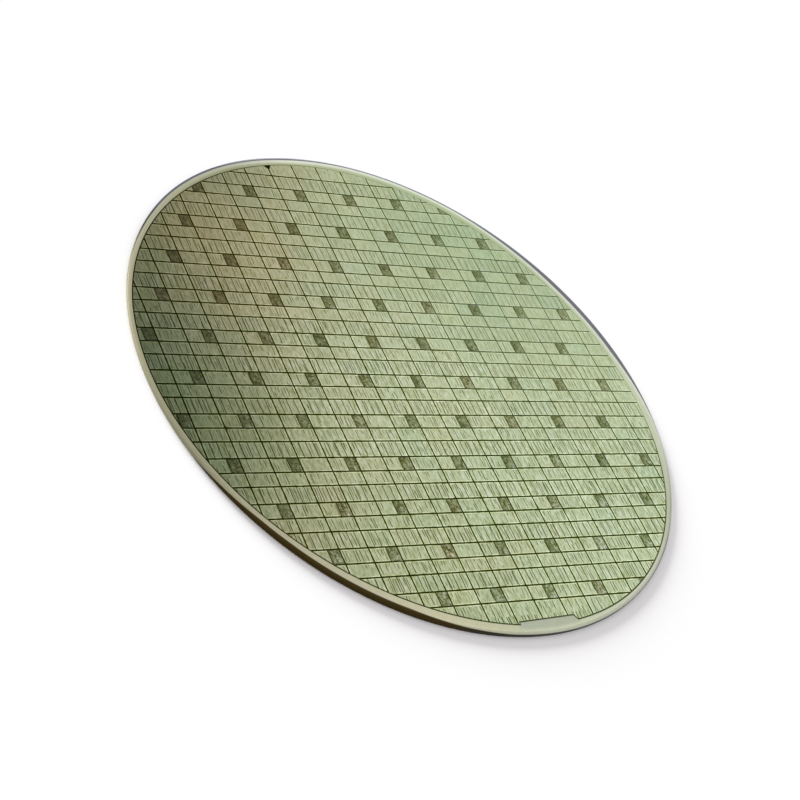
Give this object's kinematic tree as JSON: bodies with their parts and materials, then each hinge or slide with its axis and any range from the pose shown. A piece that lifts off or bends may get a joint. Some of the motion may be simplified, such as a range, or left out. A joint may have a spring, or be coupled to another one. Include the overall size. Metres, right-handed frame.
{
  "type": "silicon wafer",
  "caption": "Round patterned silicon wafer with a bevelled rim, a grid of chips and staggered test sites on its polished face.",
  "frame": {"origin": "centre of the flat back of the disc", "axes": "+Z along the axis of the disc, out of the patterned face; +X along the rows of chips; +Y across the rows, towards the dark direction wedge and away from the bare identity patch"},
  "size_m": [0.3, 0.3, 0.0026],
  "materials": {
    "films": "satin films on polished silicon"
  },
  "bodies": {
    "root": {"wafer": "films"}
  },
  "joints": []
}
